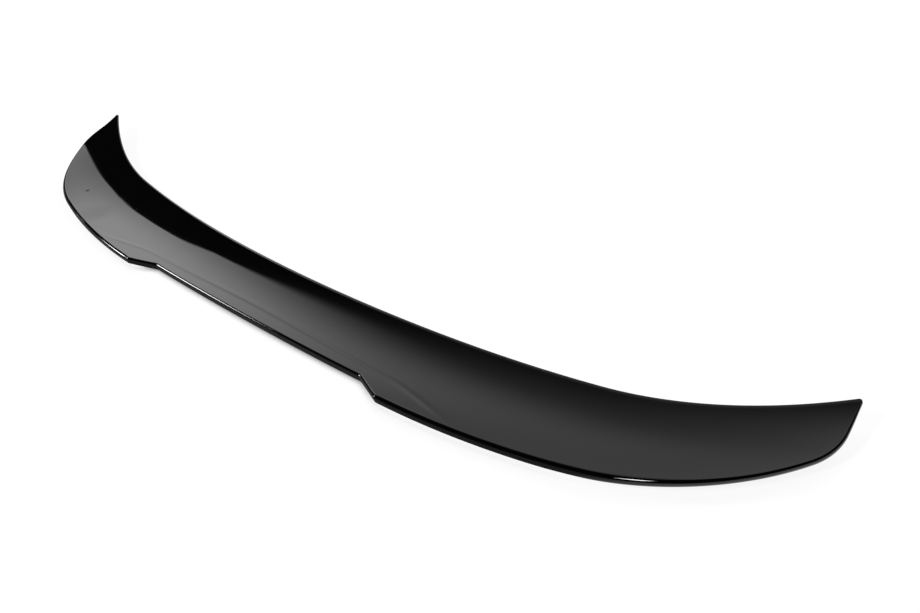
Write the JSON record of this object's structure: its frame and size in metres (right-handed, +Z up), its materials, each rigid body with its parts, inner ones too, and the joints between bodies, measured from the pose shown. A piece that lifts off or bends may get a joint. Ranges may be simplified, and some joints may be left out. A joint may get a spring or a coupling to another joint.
{
  "type": "car rear spoiler",
  "caption": "Gloss black moulded trunk-lid lip spoiler: hollow-curved top skin, forward-swept pointed ends, turned-down trailing rim with a stepped recess in the middle.",
  "frame": {"origin": "middle of the bounding box, on the surface that the spoiler lies on", "axes": "+X to the right of the car, +Y towards the front of the car, +Z up"},
  "size_m": [1.2088, 0.1848, 0.0275],
  "materials": {
    "gloss_black_abs": "polished gloss black moulding"
  },
  "bodies": {
    "root": {"spoiler_skin": "gloss_black_abs"}
  },
  "joints": []
}
